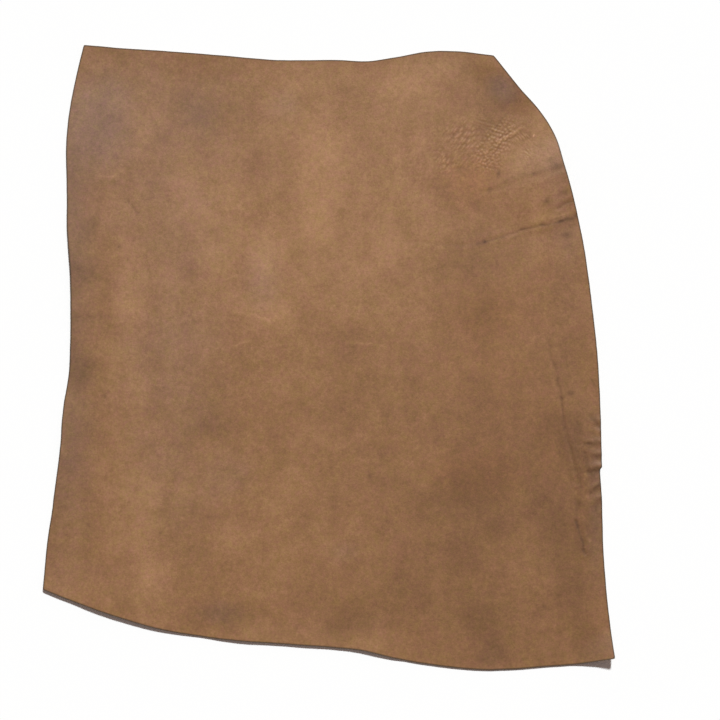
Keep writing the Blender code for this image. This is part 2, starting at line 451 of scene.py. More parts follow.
# %% A lattice of cushions
PUSHED = 0.30  # how far a point is pushed off the lattice, as a share of its cell
SLANT = -0.38  # how far each column of cells is slid along the last one
CUSHION = 0.40  # how wide a cushion is, as a share of its cell
LEVEL = 0.62  # the share of the valley's depth at which a cushion stands level with the plain skin


def between_cushions(across, along, seed):
    """How deep a lattice of cushions with steps of 1 is pressed in. Their tops stand proud a little."""
    pushes = np.random.default_rng(seed).uniform(-PUSHED, PUSHED, (2, LATTICE, LATTICE))
    nearest = np.full(across.shape, np.inf)
    for i in (-1, 0, 1):
        column = np.floor(across).astype(int) + i
        slid = along - SLANT * column
        for j in (-1, 0, 1):
            row = np.floor(slid).astype(int) + j
            push = pushes[:, column % LATTICE, row % LATTICE]
            point_across, point_along = column + 0.5 + push[0], row + 0.5 + push[1]
            nearest = np.minimum(nearest, np.hypot(across - point_across, slid - point_along))
    return 1 - np.exp(-((nearest / CUSHION) ** 2)) - LEVEL


one_cell = np.meshgrid(np.linspace(0, 1, 20), np.linspace(0, 1, 20))
print(f"valleys reach {between_cushions(*one_cell, 0).max():.2f} of a region's depth")

# %% [markdown]
# The neck has several regions of cushions, and each has its own direction and size. Long cushions read
# as strokes and short ones as dots. Two regions lie on each other at the core, where both show. The
# flank has two faint ones. A region fades out at its rim, and noise fades it here and there inside.

# %% Regions of wrinkles
# name; region: x, y, reach along and across, turn; cushions: direction, length, width, depth, seed
WRINKLES = [
    ("core, dots", 239, 309, 62, 32, 52, 52, 5.6, 5.0, 0.50, 27),
    ("core, strokes", 239, 309, 60, 30, 52, 52, 26.0, 5.0, 0.30, 34),
    ("left of the core", 186, 306, 62, 38, 60, 54, 12.0, 4.6, 0.54, 12),
    ("right of the core", 283, 307, 40, 26, -40, -48, 13.0, 4.0, 0.30, 13),
    ("above the core", 236, 334, 38, 14, -22, -22, 24.0, 4.6, 0.40, 19),
    ("below the core", 234, 284, 46, 30, 52, 52, 5.4, 4.8, 0.26, 14),
    ("wide and faint", 156, 280, 96, 74, 30, 60, 8.0, 4.6, 0.19, 15),
    ("flank, at the rim", 372, -145, 40, 90, 0, 92, 7.0, 4.4, 0.17, 16),
    ("flank, high", 330, 78, 55, 100, 0, -58, 13.0, 6.0, 0.12, 17),
]
BEND = (24.0, 1.8)  # (size of the noise that bends the lattice, how far it moves it), mm
FADES = (11.0, 0.7, 0.8)  # (size, middle, change) of the noise that fades the wrinkles
BEND_SEED, FADE_SEED = 20, 40  # added to a region's seed, so that each noise has its own pattern
REGION_EDGE = 1.5  # a region is at its full depth where its dome is higher than 1 / 1.5


def inside_region(x, y, region):
    """1 well inside a region of wrinkles, and 0 outside it."""
    return np.minimum(on_dome(x, y, *region) * REGION_EDGE, 1)


def wrinkle_depth(x, y):
    """How deep the grain side is pressed in between the cushions, in mm."""
    deep = np.zeros(x.shape)
    size, far_moved = BEND
    fade_size, usual, change = FADES
    for _, *region, direction, length, width, depth, seed in WRINKLES:
        angle = math.radians(direction)
        bent_x = x + far_moved * soft_noise(x, y, size, seed)
        bent_y = y + far_moved * soft_noise(x, y, size, seed + BEND_SEED)
        along = (bent_x * math.cos(angle) + bent_y * math.sin(angle)) / length
        across = (bent_y * math.cos(angle) - bent_x * math.sin(angle)) / width
        fades = np.clip(usual + change * soft_noise(x, y, fade_size, seed + FADE_SEED), 0, 1)
        deep += depth * inside_region(x, y, region) * fades * between_cushions(across, along, seed)
    return deep


neck = np.meshgrid(np.arange(150.0, 330.0), np.arange(220.0, 380.0))
print(f"{len(WRINKLES)} regions, up to {wrinkle_depth(*neck).max():.2f} mm deep")

# %% [markdown]
# ## Sharp lines, spots and scratches
#
# The second kind of fine form is a sharp line in the bottom of a crease, where the grain layer itself
# has folded. Each line also has a darkness, which the colour uses as painted shade in the crease. A
# line with a negative depth is a fine ridge. Lines come and go, as noise makes them do here.

# %% Sharp lines
# line through points, half width, depth, darkness of the painted shade at the start, at the end
LINES = [
    ([(371, 208), (352, 202), (333, 196)], 2.8, 0.30, 0.90, 0.66),
    ([(333, 196), (323, 193), (307, 190)], 2.2, 0.22, 0.45, 0.30),
    ([(307, 190), (281, 185), (254, 176), (223, 167), (207, 163)], 1.9, 0.06, 0.28, 0.30),
    ([(207, 163), (161, 166), (89, 169)], 2.6, 0.10, 0.12, 0.04),
    ([(335, 203), (322, 199)], 1.8, 0.20, 0.32, 0.15),
    ([(361, 231), (346, 224), (330, 216)], 2.4, 0.45, 0.70, 0.15),
    ([(345, 279), (328, 273), (314, 271), (297, 265)], 4.2, 0.15, 0.18, 0.20),
    ([(297, 265), (269, 257), (233, 244)], 4.4, 0.10, 0.22, 0.08),
    ([(255, 312), (267, 320), (281, 330)], 1.5, 0.32, 0.22, 0.14),
    ([(242, 310), (262, 324), (278, 334)], 1.6, -0.60, 0.0, 0.0),
    ([(317, 24), (323, 2), (330, -17), (333, -36), (336, -59)], 2.4, 0.16, 0.14, 0.36),
    ([(336, -59), (339, -86), (342, -101)], 2.4, 0.18, 0.36, 0.28),
    ([(347, -123), (351, -140), (355, -162)], 2.6, 0.18, 0.26, 0.20),
    ([(359, -93), (361, -112)], 3.0, 0.15, 0.35, 0.25),
    ([(380, -31), (384, -41)], 2.4, 0.15, 0.50, 0.35),
    ([(396, -106), (389, -97), (381, -86)], 3.6, 0.35, 0.50, 0.25),
    ([(398, -121), (386, -123), (374, -125)], 4.0, 0.70, 0.85, 0.60),
    ([(374, -125), (362, -126)], 2.4, 0.25, 0.45, 0.15),
    ([(370, -139), (371, -151), (372, -163)], 3.2, 0.15, 0.30, 0.22),
    ([(398, -137), (384, -144)], 5.0, 0.20, 0.36, 0.18),
    ([(398, -165), (386, -163), (374, -165)], 3.8, 0.70, 0.80, 0.50),
    ([(361, -166), (362, -188)], 3.4, 0.20, 0.34, 0.25),
    ([(396, -178), (386, -187), (379, -196)], 3.6, 0.45, 0.58, 0.36),
    ([(397, -204), (389, -211), (383, -223)], 3.6, 0.45, 0.55, 0.30),
    ([(356, -205), (357, -222), (358, -237)], 3.0, 0.20, 0.20, 0.30),
    ([(358, -237), (360, -250), (363, -258), (370, -278)], 2.2, 0.50, 0.62, 0.85),
    ([(370, -278), (374, -288)], 2.2, 0.30, 0.60, 0.15),
    ([(-366, 58), (-330, 60), (-292, 57)], 5.0, 0.12, 0.22, 0.08),
    ([(-294, 228), (-284, 217), (-274, 208)], 2.4, 0.10, 0.26, 0.18),
]
BREAKS = (11.0, 0.92, 0.42, 31)  # (size, middle, change, seed) of the noise that breaks a line up
SHALLOWER = 0.4  # how much of its depth a line loses by its end


def comes_and_goes(x, y):
    """A share near 1 that varies, so that a line is broken like a real one."""
    size, usual, change, seed = BREAKS
    return usual + change * soft_noise(x, y, size, seed)


def line_depth(x, y):
    """How deep the sharp lines are, in mm."""
    deep = np.zeros(x.shape)
    x, y = wander(x, y)
    for line, width, depth, _, _ in LINES:
        distance, share = from_line(x, y, line)
        deep += depth * np.exp(-((distance / width) ** 2)) * (1 - SHALLOWER * share)
    return deep * comes_and_goes(x, y)


print(f"{len(LINES)} lines, the deepest of {max(depth for _, _, depth, _, _ in LINES)} mm")

# %% [markdown]
# A spot is a small round stain or the scar of an insect's bite. It has a darkness and no depth. Lines
# and spots that cross must not add up to more than black, so what stays clear is multiplied instead.

# %% Spots, and how dark all marks are
# x, y, radius across, radius along, darkness
SPOTS = [
    (329, 276, 7, 5, 0.36),
    (320, 286, 4, 4, 0.30),
    (315, 226, 5, 4, 0.55),
    (340, 239, 6, 5, 0.34),
    (309, 192, 4, 3, 0.35),
    (281, 185, 5, 3, 0.45),
    (252, 174, 4, 3, 0.34),
    (225, 168, 4, 3, 0.80),
    (344, 178, 7, 4, 0.60),
    (346, 161, 5, 3, 0.26),
    (270, 172, 4, 3, 0.18),
    (246, 266, 3, 5, 0.42),
    (234, 244, 4, 3, 0.30),
    (350, -50, 6, 4, 0.48),
    (336, -59, 4, 4, 0.16),
    (360, -208, 7, 7, 0.30),
    (382, -278, 5, 5, 0.24),
    (385, -91, 8, 7, 0.30),
    (388, -143, 8, 7, 0.25),
    (384, -168, 8, 6, 0.25),
    (-334, 427, 3, 3, 0.30),
    (-324, 416, 2, 2, 0.25),
    (-318, 348, 7, 3, 0.22),
    (-301, 342, 6, 3, 0.18),
    (-333, 364, 7, 3, 0.18),
    (-307, 253, 4, 4, 0.26),
    (-342, 196, 9, 12, 0.16),
    (-303, 160, 3, 3, 0.45),
    (-322, -56, 3, 3, 0.50),
    (60, -171, 3, 4, 0.45),
    (311, -360, 4, 4, 0.50),
    (-243, -255, 3, 3, 0.28),
]
UNBROKEN = 1.1  # the most that the breaks in a line may darken it


def mark_darkness(x, y):
    """How dark the lines' painted shade and the spots are, from 0 to 1."""
    clear = np.ones(x.shape)
    x, y = wander(x, y)
    broken = np.clip(comes_and_goes(x, y), 0, UNBROKEN)
    for line, width, _, first, last in LINES:
        distance, share = from_line(x, y, line)
        clear *= 1 - (first + (last - first) * share) * np.exp(-((distance / width) ** 2)) * broken
    for middle_x, middle_y, across, along, darkness in SPOTS:
        distance = np.hypot((x - middle_x) / across, (y - middle_y) / along)
        clear *= 1 - darkness * np.exp(-(distance**2))
    return 1 - clear


print(f"{len(SPOTS)} spots")

# %% [markdown]
# A scratch in oiled leather is pale, because it pushes the oil aside and leaves the dye alone. It has
# no depth worth modelling. The short wide ones are pale places on the tops of pleats. Three rows are
# painted highlights instead: a pale line on the ridge of the neck wrinkle, a pale line on the lip of
# the long crease, and a glint.

# %% Scratches and painted highlights
# line through points, half width, strength
SCRATCHES = [
    ([(-137, 66), (-111, 63), (-85, 55)], 1.7, 1.3),
    ([(-134, 18), (-113, 23)], 1.6, 1.0),
    ([(24, 23), (53, 21), (77, 18)], 1.7, 1.0),
    ([(-330, 263), (-313, 261), (-297, 270)], 1.7, 1.1),
    # Painted highlight along the ridge of the neck wrinkle.
    ([(243, 309), (262, 323), (277, 333)], 1.3, 2.2),
    # A painted glint.
    ([(296, 319), (297, 321)], 1.1, 7.0),
    # Painted highlight on the lip of the long crease.
    ([(366, 214), (346, 208), (326, 202)], 2.0, 1.4),
    ([(370, -169), (371, -171)], 2.4, 1.7),
    ([(372, -200), (373, -202)], 2.4, 1.1),
    ([(378, -262), (378, -265)], 2.4, 1.2),
]


def pale_and_highlight_strength(x, y):
    """How much paler the scratches and the painted highlights are."""
    x, y = wander(x, y)
    shares = comes_and_goes(x, y)
    distances = [(from_line(x, y, line)[0] / width, strong) for line, width, strong in SCRATCHES]
    return shares * sum(strong * np.exp(-(distance**2)) for distance, strong in distances)


print(f"{len(SCRATCHES)} scratches")

# %% [markdown]
# ## Swells
#
# Last come the swells: thickness that differs by a tenth or two over a hand's width, and the slight
# lumpiness that any hide has. They are what makes a flat sheet look like skin in raking light.

# %% All the grain side's relief
SWELLS = [(85.0, 0.28, 70), (34.0, 0.14, 71), (15.0, 0.06, 72)]  # (size in mm, height in mm, seed)


def grain_relief(x, y):
    """What the grain side adds to the plain thickness, in mm."""
    swells = sum(high * soft_noise(x, y, size, seed) for size, high, seed in SWELLS)
    return swells - wrinkle_depth(x, y) - line_depth(x, y)


relief = grain_relief(*neck)
print(f"the neck's relief runs from {relief.min():.2f} to {relief.max():.2f} mm")

# %% [markdown]
# ## Making the sheet
#
# The grid starts with quads of 6.5 mm, which is enough for the waves, and those at the rim are split
# in four, and again near the nick. Both sides share that grid. Only the grain side has fine forms, so
# it is split further once it has been made: along creases and lines, more so near their middles, and
# most of all where the wrinkles are as small as at the neck. An even grid this fine would have about a
# million faces.
#
# Splitting leaves some neighbours with a point in the middle of a side. Those are cut into triangles,
# so that no face hangs from a straight corner. A triangle that comes out as thin as a hair would catch
# the light the wrong way, so it is dissolved.

# %% Split faces where there is detail
QUAD = 6.5
STRAIGHT = math.radians(170)
# One row for each round on the grain side: how near to a crease, to a line or to a spot a face is
# split, as a multiple of the crease's, line's or spot's own size, and from what depth of wrinkles on.
ROUNDS = [(1.7, 2.6, 1.5, 0.02), (1.1, 1.7, 0.9, 0.06), (0.0, 0.6, 0.0, 0.20)]
LEAST_WIDTH = 1.0  # a face narrower than this isn't split again, mm
SLIVER = 0.01  # a triangle thinner than this is dissolved, mm


def split_faces(bm, wanted):
    """Splits these faces in four. Edges that the wall needs stay whole."""
    edges = {e for face in wanted for e in face.edges}
    whole = {e for e in edges if len({f.material_index for f in e.link_faces}) > 1}
    bmesh.ops.subdivide_edges(
        bm, edges=list(edges - whole), cuts=1, use_grid_fill=True, quad_corner_type="FAN"
    )
    half_split = [f for f in bm.faces if any(c.calc_angle() > STRAIGHT for c in f.loops)]
    cut_up = bmesh.ops.triangulate(bm, faces=half_split)["faces"]
    sides = {edge for face in cut_up for edge in face.edges} - whole
    bmesh.ops.dissolve_degenerate(bm, dist=SLIVER * MM, edges=list(sides))


def is_wide(face):
    """Whether a face is wide enough to be split again."""
    longest = max(edge.calc_length() for edge in face.edges)
    return face.calc_area() > LEAST_WIDTH * MM * longest


def needs_detail(x, y, crease_reach, line_reach, spot_reach, least_depth):
    """Whether a crease, a line, a spot or wrinkles pass each place."""
    wanted = np.zeros(x.shape, bool)
    for _, line, width, _, _ in CREASES:
        wanted |= from_line(x, y, line)[0] < crease_reach * width
    for edge_y, long, drop, width, _ in PLEATS:
        wanted |= from_line(x, y, pleat_line(edge_y, long, drop))[0] < crease_reach * width
    for line, width, *_ in LINES + SCRATCHES:
        wanted |= from_line(x, y, line)[0] < line_reach * width
    for middle_x, middle_y, across, along, _ in SPOTS:
        wanted |= np.hypot(x - middle_x, y - middle_y) < spot_reach * max(across, along)
    for _, *region, _, _, _, depth, _ in WRINKLES:
        wanted |= inside_region(x, y, region) * depth > least_depth
    return wanted


print(f"faces of {QUAD} mm, and of {QUAD / 8:.1f} mm where there is most detail")

# %% [markdown]
# The nick in the belly edge is a slip of the knife: a short step inwards that runs out again. It could
# be cut with a Boolean, but that would spoil the grid. So the leather next to it is drawn in, and the
# grid further in stays even.

# %% The nick
NICK_Y, NICK_RUN, NICK_DEPTH = -158.0, 52.0, 3.2  # where it starts, how far it runs, how deep it is, mm
NICK_REACH = 14.0  # how far from the edge the leather is drawn in, mm
NICK_STEP = 0.08  # share of the run that the step inwards takes


def draw_in_nick(x, y):
    """x of each place after the nick is cut."""
    edge = belly[0] - middle
    from_edge = np.interp(-y, -edge[:, 1], edge[:, 0]) - x
    run = (NICK_Y - y) / NICK_RUN
    step = np.clip(run / NICK_STEP, 0, 1) * np.clip(1 - run, 0, 1)
    return x - NICK_DEPTH * step * np.clip(1 - from_edge / NICK_REACH, 0, 1)


print(f"a nick of {NICK_DEPTH} mm at y = {NICK_Y} mm")

# %% [markdown]
# ## The flat sheet
#
# The grid is made on the unit square and its points move to their places on the hide. The knife left
# the four corners a little blunt, so each corner point moves a third of the way to its neighbours.
# bmesh is used from here on, because it splits and extrudes single faces, which modifiers can't.

# %% The sheet on the floor
RIM_ROUNDS = [math.inf, 30.0, 14.0]  # how near to the nick the rim is split in each round, mm
BLUNTED = 1 / 3  # how far a corner point moves to the middle of its neighbours


def places(vertices):
    """The x, y and z of bmesh vertices, as three arrays in mm."""
    return np.array([v.co for v in vertices]).T / MM


def put(vertices, x, y, z):
    """Moves bmesh vertices to these places in mm."""
    for vertex, place in zip(vertices, np.stack([x, y, z], axis=1) * MM):
        vertex.co = place


def middles(faces):
    """The x and y of the middles of faces, in mm."""
    return np.array([face.calc_center_median().xy for face in faces]).T / MM


bm = bmesh.new()
columns, rows = round(WIDTH / QUAD), round(LENGTH / QUAD)
bmesh.ops.create_grid(bm, x_segments=columns, y_segments=rows, size=0.5)
x, y = place_on_hide(*(places(bm.verts)[:2] * MM + 0.5)).T
put(bm.verts, x, y, np.zeros(x.shape))
for reach in RIM_ROUNDS:
    at_rim = [f for f in bm.faces if any(e.is_boundary for e in f.edges)]
    x, y = middles(at_rim)
    near_nick = np.hypot(x - belly_x(NICK_Y), y - (NICK_Y - NICK_RUN / 4)) < reach
    split_faces(bm, [face for face, near_it in zip(at_rim, near_nick) if near_it])
for point in [v for v in bm.verts if len(v.link_edges) == 2]:
    first, second = (edge.other_vert(point).co for edge in point.link_edges)
    point.co = point.co.lerp((first + second) / 2, BLUNTED)
x, y, _ = places(bm.verts)
x = draw_in_nick(x, y)
put(bm.verts, x, y, flesh_height(x, y))
print(f"{len(bm.faces)} faces on the flesh side")

# %% [markdown]
# ## Thickness
#
# A Solidify modifier would do for a plain sheet. Here the grain side has relief of its own, so the
# sheet is extruded instead: its faces are copied, and the extrusion makes the wall between them. The
# copies are split where there is detail, and then every point of theirs moves up to the grain side's
# height.

# %% Extrude the sheet
FLESH, GRAIN, CUT = 0, 1, 2  # the order of the materials


def grain_height(x, y):
    """The grain side's height over the floor."""
    return flesh_height(x, y) + THICKNESS + grain_relief(x, y)


made = bmesh.ops.extrude_face_region(bm, geom=bm.faces[:], use_keep_orig=True)["geom"]
upper = {item for item in made if isinstance(item, bmesh.types.BMVert)}
for face in bm.faces:
    above = sum(vertex in upper for vertex in face.verts)
    face.material_index = GRAIN if above == len(face.verts) else CUT if above else FLESH
    face.smooth = True
for limits in ROUNDS:
    grain_faces = [face for face in bm.faces if face.material_index == GRAIN and is_wide(face)]
    wanted = needs_detail(*middles(grain_faces), *limits)
    split_faces(bm, [face for face, is_wanted in zip(grain_faces, wanted) if is_wanted])
upper = list({v for face in bm.faces if face.material_index == GRAIN for v in face.verts})
x, y, _ = places(upper)
put(upper, x, y, grain_height(x, y))
bmesh.ops.recalc_face_normals(bm, faces=bm.faces)
print(f"{len(bm.faces)} faces with both sides and the wall")

# %% [markdown]
# The wall meets both sides in a sharp corner, and a real cut edge is rubbed a little round there. One
# bevel rounds both corners. Before it, the lower one is walked from point to point, because the rim's
# line is needed later. Shading stays smooth within each surface and breaks where one meets the next, so
# the wide faces of the grain side don't shade towards the wall.

# %% Round the cut edge
ROUNDING, ROUNDING_STEPS = 0.35, 2  # mm, and faces from one side to the next


def walk_round(edges):
    """The x and y of a closed loop of edges, in order and in mm."""
    edges = set(edges)
    edge = edges.pop()
    vertex = edge.verts[0]
    line = [tuple(vertex.co.xy / MM)]
    while edge:
        vertex = edge.other_vert(vertex)
        line.append(tuple(vertex.co.xy / MM))
        edge = next((e for e in vertex.link_edges if e in edges), None)
        edges.discard(edge)
    return line


walls = [face for face in bm.faces if face.material_index == CUT]
corners = {e for f in walls for e in f.edges if any(o.material_index != CUT for o in e.link_faces)}
lower = {e for e in corners if any(face.material_index == FLESH for face in e.link_faces)}
rim_line = walk_round(lower)
bmesh.ops.bevel(
    bm,
    geom=list(corners),
    offset=ROUNDING * MM,
    segments=ROUNDING_STEPS,
    profile=0.5,
    affect="EDGES",
    material=CUT,
)
for edge in bm.edges:
    edge.smooth = len({face.material_index for face in edge.link_faces}) == 1
sheet = bpy.data.meshes.new("leather_hide")
bm.to_mesh(sheet)
bm.free()
print(f"{len(sheet.polygons)} faces, and {len(rim_line) - 1} steps round the rim")

# %% [markdown]
# ## What each place knows about itself
#
# Colour follows the real skin: pale where it was stretched, dark where it was folded or handled. Such
# patches belong to places on the hide. They could be painted, but a painting can't be adjusted row by
# row. So they are domes again, worked out once for each vertex and stored on the mesh as attributes.
# The materials read them and add the fine grain that no mesh could carry.
#
# A row of the table is one soft patch. Its strength is positive where the leather is lighter. A few
# rows paint light and shade rather than the skin's colour: the two wide ones are partly a painted fall
# of light, the neck ridge's and the neck rim's are painted highlights, and the neck hollow's is painted
# shade.

# %% Light and dark patches
# name, x, y of the middle, reach across and along, turn in degrees, strength
PATCHES = [
    # The first two rows are partly painted light, a fall of light from the upper middle towards the
    # lower right, and partly the leather's own tone.
    ("wide light middle, partly painted light", -40, 228, 430, 290, 0, 0.8),
    ("wide dark right, partly painted shade", 277, -234, 360, 360, 0, -0.9),
    ("far light, right", 110, 405, 50, 45, 0, 1.3),
    ("far light, corner", 165, 420, 55, 40, 10, 0.6),
    ("corner tip", 235, 430, 50, 15, -5, 0.8),
    ("upper middle, light", -8, 276, 56, 130, 0, 1.0),
    ("upper middle, low", -92, 136, 42, 60, 0, 1.05),
    ("upper left, light", -185, 220, 80, 65, 0, 0.4),
    ("left of middle", -160, 136, 36, 44, 0, 0.75),
    ("back, light high", -293, 72, 46, 34, 0, 1.25),
    ("back, light strip", -287, 120, 34, 85, 0, 0.75),
    ("back, light mid", -288, -12, 42, 104, 0, 0.8),
    ("middle light", 22, 68, 90, 40, 0, 0.75),
    # Painted highlight on the side of the neck ridge that faces the lamp.
    ("neck ridge, painted highlight", 292, 300, 75, 40, 30, 0.9),
    ("neck, small light", 130, 305, 25, 30, 0, 0.45),
    ("neck, streak", 100, 280, 15, 60, 0, 0.35),
    ("near back, light", -282, -194, 58, 36, 0, 1.05),
    ("near left, light", -213, -195, 32, 30, 0, 1.1),
    ("near back, band", -275, -243, 50, 72, 0, 0.95),
    ("near back, low", -256, -312, 46, 44, 0, 1.2),
    ("near, soft light", -134, -262, 50, 38, 0, 1.45),
    ("near, light", -34, -278, 50, 26, 0, 0.6),
    ("near, light dot", -75, -325, 20, 25, 0, 0.35),
    ("near edge, left", -260, -380, 30, 30, 0, 0.5),
    ("near edge, middle", 55, -410, 50, 20, 0, 0.35),
    ("near vertical", 160, -335, 18, 65, 0, 0.5),
    ("near right light", 285, -290, 55, 55, 0, 0.35),
    ("middle low light", 140, -164, 58, 46, 0, 0.75),
    ("upper left dot", -265, 325, 20, 25, 0, 0.45),
    ("far middle", -74, 358, 42, 64, 0, 0.7),
    ("belly light", 314, 150, 44, 34, 0, 0.65),
    # Painted highlight where the neck's rim curves up towards the lamp.
    ("neck rim, painted highlight", 305, 343, 26, 36, 25, 1.1),
    ("below the neck, light", 310, 234, 60, 42, 0, 1.1),
    ("between the creases", 316, 202, 50, 20, 16, 1.3),
    ("far edge, light left", -330, 424, 36, 22, 0, 0.9),
    ("far edge, light middle", 84, 380, 44, 36, 0, 0.75),
    ("far rim, light", 34, 408, 30, 26, 0, 0.75),
    ("far edge, light right", 136, 386, 38, 34, 0, 0.5),
    ("upper middle, dots", -24, 194, 48, 48, 0, 0.85),
    ("upper left, dots", -138, 219, 26, 26, 0, 0.35),
    ("middle, light band", 64, 128, 52, 62, 0, 0.6),
    ("middle, light left", -84, 66, 58, 44, 0, 1.0),
    ("low middle, light", 98, -119, 30, 26, 0, 0.35),
    ("low middle, dot", -40, -160, 34, 30, 0, 0.45),
    ("near right, light low", 281, -340, 30, 44, 0, 0.45),
    # Painted shade on the slope of the neck hollow that faces away from the lamp.
    ("neck hollow, painted shade", 244, 374, 52, 52, -35, -0.85),
    ("upper dark", -103, 272, 30, 45, 0, -1.1),
    ("upper dark, tail", -95, 215, 20, 30, 0, -0.35),
    ("far left dark", -180, 357, 68, 45, 0, -1.1),
    ("far left dark 2", -165, 405, 50, 20, 0, -0.35),
    ("far middle dark", -25, 375, 25, 20, 0, -0.55),
    ("back dark high", -348, 122, 40, 36, 0, -1.3),
    ("back dark small", -352, 180, 26, 30, 0, -1.0),
    ("back dark low", -360, -20, 40, 35, 0, -1.4),
    ("back rim, high", -385, 130, 48, 330, 3, -1.1),
    ("back rim, far", -350, 262, 40, 125, 0, -0.7),
    ("back rim, low", -388, -200, 40, 170, -8, -0.7),
    ("back band", -350, -205, 15, 185, 0, -0.5),
    ("middle left dark", -165, -98, 45, 42, 0, -1.0),
    ("middle left dark 2", -205, -115, 60, 30, 0, -0.35),
    ("near left dark 2", -195, -280, 40, 35, 0, -0.4),
    ("middle dark low", 40, -135, 30, 15, 0, -0.6),
    ("middle dark high", 25, 30, 60, 40, 0, -0.5),
    ("right dark high", 206, 148, 96, 56, 0, -1.1),
    ("right dark", 226, 72, 85, 56, 0, -0.7),
    ("belly dark high", 335, 80, 42, 36, 0, -0.4),
    ("right dark low", 205, -195, 80, 55, 0, -1.1),
    ("right dark dot", 243, -246, 46, 34, 0, -1.15),
    ("flank dark", 320, -212, 56, 56, 0, -1.0),
    ("flank dark low", 338, -258, 38, 62, 0, -1.0),
    ("flank dark high", 332, -104, 60, 42, 0, -1.2),
    ("right dark middle", 200, -34, 32, 32, 0, -0.5),
    ("neck dark", 161, 248, 26, 26, 0, -0.4),
    ("neck wrinkles", 234, 334, 36, 28, 0, -0.7),
    ("left dark high", -266, 252, 58, 50, 0, -0.65),
    ("middle dark dot", 21, 3, 30, 30, 0, -0.35),
    ("middle left dark low", -142, -75, 40, 32, 0, -0.4),
    ("pleats dark", 359, -140, 38, 74, 0, -0.95),
    ("pleats dark low", 370, -256, 28, 66, 0, -1.1),
    ("near right dark", 188, -272, 66, 50, 0, -0.75),
    ("near right dot", 195, -305, 35, 20, 0, -0.6),
    ("near right band", 216, -373, 76, 34, 0, -1.05),
    ("near edge stain", 238, -418, 28, 24, 20, -1.3),
    ("near edge stain, left", 228, -438, 26, 16, -10, -1.2),
    ("near edge stain, right", 256, -434, 18, 22, 30, -1.0),
    ("near edge, right of middle", 233, -398, 40, 32, 0, -0.5),
    ("near dark middle", 104, -354, 92, 44, 0, -0.9),
    ("near dark left", 28, -382, 60, 40, 0, -1.45),
    ("near edge dark", -150, -371, 80, 38, 5, -1.6),
    ("belly dark low", 352, -335, 42, 76, 0, -1.05),
    ("near right tip, dark", 378, -412, 52, 42, 0, -1.25),
    ("low middle, wide light", -58, -196, 66, 60, 0, 0.8),
    ("back, light low", -304, -107, 28, 32, 0, 0.7),
    ("left of middle, low", -133, 84, 34, 30, 0, 0.7),
    ("right of middle, low", 93, -52, 34, 30, 0, 0.5),
    ("below the neck, low light", 220, 262, 34, 26, 0, 0.6),
    ("far left corner, dark", -318, 340, 30, 44, 0, -0.6),
    ("right of middle, light", 88, 160, 40, 44, 0, 0.7),
]


def soft_patches(x, y, table):
    """The sum of a table of patches at each place."""
    return sum(strength * on_dome(x, y, *shape) for _, *shape, strength in table)


lightness = soft_patches(x, y, PATCHES)
print(f"{len(PATCHES)} patches, which add up to {lightness.min():.1f} to {lightness.max():.1f}")

# %% [markdown]
# The dye is not one colour either. Where the hide met water or another hide, it is a cooler, greyer
# brown, most of all at the back and in the folds of the belly. Where it took up more oil it is warmer,
# and such a patch has a negative strength.

# %% Cooler and warmer patches
COOL = [
    ("far left", -270, 320, 280, 250, 0, 0.50),
    ("left of middle", -225, 75, 170, 210, 0, 0.33),
    ("near left", -235, -140, 170, 290, 0, 0.36),
    ("middle left", -92, 120, 44, 84, 0, 0.5),
    ("far middle", -60, 366, 40, 40, 0, 0.4),
    ("low left", -140, -170, 60, 60, 0, 0.25),
    ("near middle", 21, -279, 42, 30, 0, 0.4),
    ("far left corner", -334, 347, 70, 105, 0, 0.60),
    ("far left spot", -185, 350, 45, 45, 0, 0.20),
    ("along the back", -385, 0, 70, 620, 0, 0.55),
    ("neck hollow", 250, 388, 44, 32, -35, 0.90),
    ("belly, high", 340, 188, 40, 150, 10, 0.45),
    ("belly, low", 388, -210, 26, 190, 0, 0.50),
    ("near edge", -157, -368, 55, 30, 0, 0.40),
    ("near edge stain", 233, -429, 40, 35, 0, 0.25),
    ("neck, warm", 208, 258, 90, 70, 20, -0.75),
    ("right, wide and warm", 250, -30, 170, 330, 0, -0.42),
    ("right, warm", 230, 62, 80, 70, 0, -0.25),
    ("right low, warm", 212, -172, 100, 62, 0, -0.70),
    ("belly, warm", 316, 138, 30, 40, 0, -0.35),
    ("flank, warm", 325, -130, 50, 110, 0, -0.3),
]
coolness = soft_patches(x, y, COOL)
print(f"{len(COOL)} patches, which add up to {coolness.min():.1f} to {coolness.max():.1f}")

# %% [markdown]
# The other attributes are measured from the mesh: how dark a mark is, how deep a wrinkle lies, how far
# a place is from the rim, and how far down the wall it is. The last two let the materials draw the dark
# line of painted shade along the rim, and the dyed layers in the cut edge.

# %% Store the attributes
def read(items, name, width):
    """One property of every vertex, corner or face of a mesh, as an array with this many columns."""
    flat = np.empty(len(items) * width)
    items.foreach_get(name, flat)
    return flat.reshape(-1, width)


def store(mesh, name, values):
    """Keeps one number for each vertex under this name."""
    mesh.attributes.new(name, "FLOAT", "POINT").data.foreach_set("value", values)


x, y, z = read(sheet.vertices, "co", 3).T / MM
from_rim, round_rim = from_line(x, y, rim_line)
wrinkles = wrinkle_depth(x, y)
down = (grain_height(x, y) - z) / THICKNESS
store(sheet, "tone", soft_patches(x, y, PATCHES) + pale_and_highlight_strength(x, y))
store(sheet, "cool", soft_patches(x, y, COOL))
store(sheet, "mark", mark_darkness(x, y))
store(sheet, "wrinkle", wrinkles)
store(sheet, "from_rim", from_rim)
store(sheet, "down", down)
print(f"wrinkles are up to {wrinkles.max():.2f} mm deep")

# %% [markdown]
# ## A map of the hide
#
# The materials need no map, because they read places in 3D. A map is still worth making for the day
# when the finish is baked into an image, since the one that Blender would make by itself cuts a curved
# sheet into islands. Here the grain side keeps its true shape and takes nearly all of the image. The
# flesh side is small, and the wall lies above in four strips.

